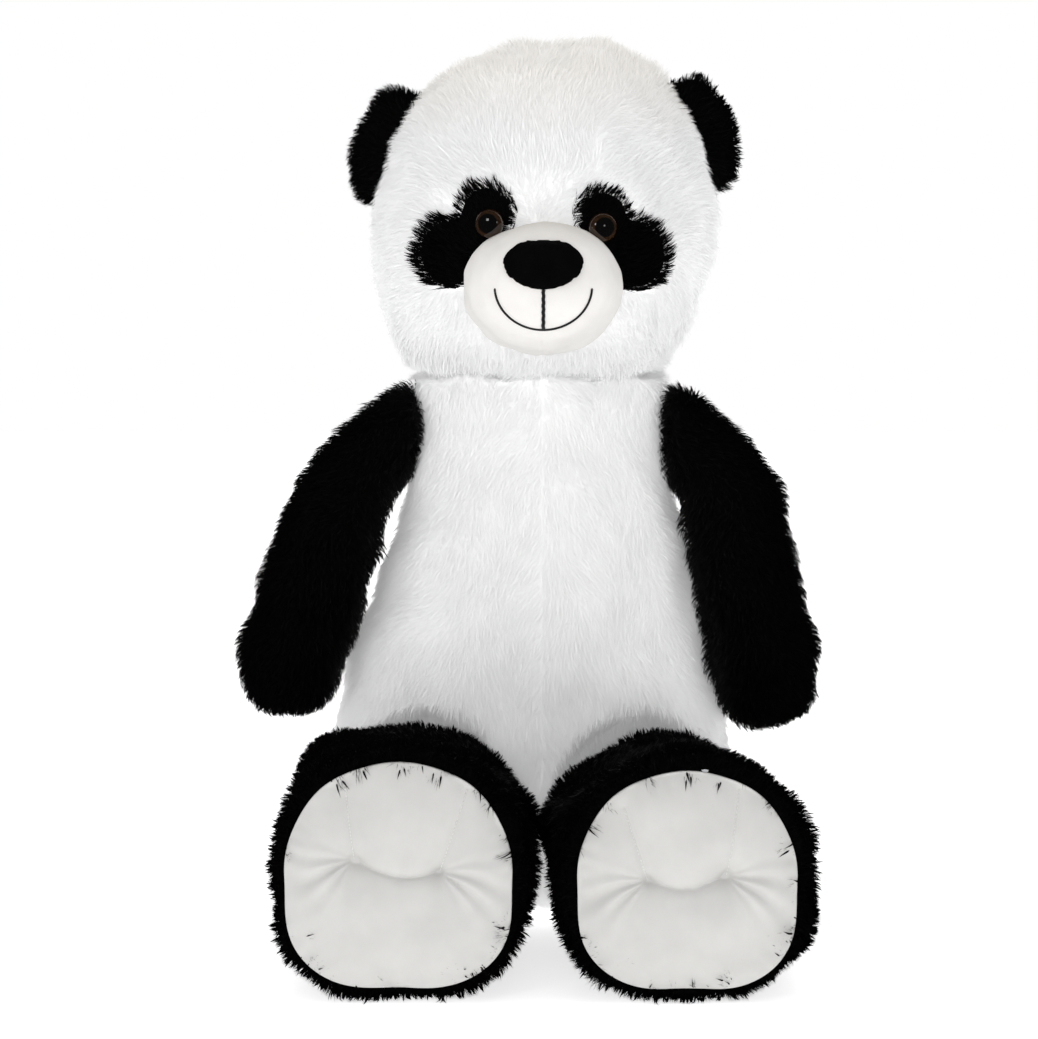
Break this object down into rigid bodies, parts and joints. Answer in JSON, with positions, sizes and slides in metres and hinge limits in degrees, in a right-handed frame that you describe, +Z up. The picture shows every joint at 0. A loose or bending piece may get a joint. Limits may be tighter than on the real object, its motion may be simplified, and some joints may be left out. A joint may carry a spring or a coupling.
{
  "type": "plush panda",
  "caption": "Seated long-pile plush panda with black limbs, ears and eye patches; head, arms, legs and ears bend at their seams and spring back.",
  "frame": {"origin": "centre of the flat seat, on the surface that the toy sits on", "axes": "+Z up, -Y the way the face looks, +X the toy's own left"},
  "size_m": [0.6582, 0.7258, 0.989],
  "materials": {
    "white_plush": "long white pile, soft and clumped",
    "black_plush": "long black pile, soft and clumped",
    "muzzle_velour": "short off-white velour",
    "nose_velour": "short black velour",
    "sole_velour": "short white velour",
    "black_thread": "satin embroidery thread",
    "white_thread": "polyester sewing thread",
    "label_satin": "blank woven satin",
    "fibre_fill": "loose polyester fibre",
    "eye_plastic": "glossy dark brown and black",
    "washer_plastic": "moulded"
  },
  "bodies": {
    "torso": {"torso_front_left_panel": "white_plush", "torso_front_right_panel": "white_plush", "torso_back_left_panel": "white_plush", "torso_back_right_panel": "white_plush", "seat_base_panel": "white_plush", "torso_stuffing": "fibre_fill", "back_closing_stitches": "white_thread", "tail": "white_plush", "care_label": "label_satin"},
    "neck": {"neck_stuffing": "fibre_fill"},
    "head": {"face_panel": "white_plush", "head_back_left_panel": "white_plush", "head_back_right_panel": "white_plush", "head_stuffing": "fibre_fill", "left_eye_patch": "black_plush", "right_eye_patch": "black_plush", "left_eye": "eye_plastic", "right_eye": "eye_plastic", "left_eye_washer": "washer_plastic", "right_eye_washer": "washer_plastic", "muzzle_cover": "muzzle_velour", "muzzle_stuffing": "fibre_fill", "nose_cover": "nose_velour", "nose_stuffing": "fibre_fill", "mouth_embroidery": "black_thread"},
    "left_ear": {"left_ear_front_panel": "black_plush", "left_ear_back_panel": "black_plush", "left_ear_stuffing": "fibre_fill"},
    "left_shoulder": {"left_shoulder_stuffing": "fibre_fill"},
    "left_arm": {"left_arm_inner_panel": "black_plush", "left_arm_outer_panel": "black_plush", "left_arm_stuffing": "fibre_fill"},
    "left_hip": {"left_hip_stuffing": "fibre_fill"},
    "left_leg": {"left_leg_inner_panel": "black_plush", "left_leg_outer_panel": "black_plush", "left_leg_stuffing": "fibre_fill", "left_sole_pad": "sole_velour", "left_toe_stitches": "white_thread"},
    "right_ear": {"right_ear_front_panel": "black_plush", "right_ear_back_panel": "black_plush", "right_ear_stuffing": "fibre_fill"},
    "right_shoulder": {"right_shoulder_stuffing": "fibre_fill"},
    "right_arm": {"right_arm_inner_panel": "black_plush", "right_arm_outer_panel": "black_plush", "right_arm_stuffing": "fibre_fill"},
    "right_hip": {"right_hip_stuffing": "fibre_fill"},
    "right_leg": {"right_leg_inner_panel": "black_plush", "right_leg_outer_panel": "black_plush", "right_leg_stuffing": "fibre_fill", "right_sole_pad": "sole_velour", "right_toe_stitches": "white_thread"}
  },
  "joints": [
    {"name": "head_turn", "type": "hinge", "parent": "torso", "child": "neck", "pos_m": [0, 0, 0.602], "axis": [0, 0, 1], "range_deg": [-25, 25], "stiffness_Nm_per_rad": 8},
    {"name": "head_nod", "type": "hinge", "parent": "neck", "child": "head", "pos_m": [0, 0, 0.602], "axis": [1, 0, 0], "range_deg": [-12, 12], "stiffness_Nm_per_rad": 25},
    {"name": "left_ear_fold", "type": "hinge", "parent": "head", "child": "left_ear", "pos_m": [0.179, 0.015, 0.878], "axis": [-0.309, 0, 0.9511], "range_deg": [-18, 18], "stiffness_Nm_per_rad": 0.6},
    {"name": "left_arm_swing", "type": "hinge", "parent": "torso", "child": "left_shoulder", "pos_m": [0.15, -0.005, 0.545], "axis": [-1, 0, 0], "range_deg": [0, 60], "stiffness_Nm_per_rad": 5},
    {"name": "left_arm_lift", "type": "hinge", "parent": "left_shoulder", "child": "left_arm", "pos_m": [0.15, -0.005, 0.545], "axis": [0, -1, 0], "range_deg": [0, 60], "stiffness_Nm_per_rad": 5},
    {"name": "left_leg_lift", "type": "hinge", "parent": "torso", "child": "left_hip", "pos_m": [0.137, -0.15, 0.118], "axis": [-1, 0, 0], "range_deg": [0, 25], "stiffness_Nm_per_rad": 15},
    {"name": "left_leg_spread", "type": "hinge", "parent": "left_hip", "child": "left_leg", "pos_m": [0.137, -0.15, 0.118], "axis": [0, 0, 1], "range_deg": [0, 15], "stiffness_Nm_per_rad": 15},
    {"name": "right_ear_fold", "type": "hinge", "parent": "head", "child": "right_ear", "pos_m": [-0.179, 0.015, 0.878], "axis": [0.309, 0, 0.9511], "range_deg": [-18, 18], "stiffness_Nm_per_rad": 0.6},
    {"name": "right_arm_swing", "type": "hinge", "parent": "torso", "child": "right_shoulder", "pos_m": [-0.15, -0.005, 0.545], "axis": [-1, 0, 0], "range_deg": [0, 60], "stiffness_Nm_per_rad": 5},
    {"name": "right_arm_lift", "type": "hinge", "parent": "right_shoulder", "child": "right_arm", "pos_m": [-0.15, -0.005, 0.545], "axis": [0, 1, 0], "range_deg": [0, 60], "stiffness_Nm_per_rad": 5},
    {"name": "right_leg_lift", "type": "hinge", "parent": "torso", "child": "right_hip", "pos_m": [-0.137, -0.15, 0.118], "axis": [-1, 0, 0], "range_deg": [0, 25], "stiffness_Nm_per_rad": 15},
    {"name": "right_leg_spread", "type": "hinge", "parent": "right_hip", "child": "right_leg", "pos_m": [-0.137, -0.15, 0.118], "axis": [0, 0, -1], "range_deg": [0, 15], "stiffness_Nm_per_rad": 15}
  ]
}
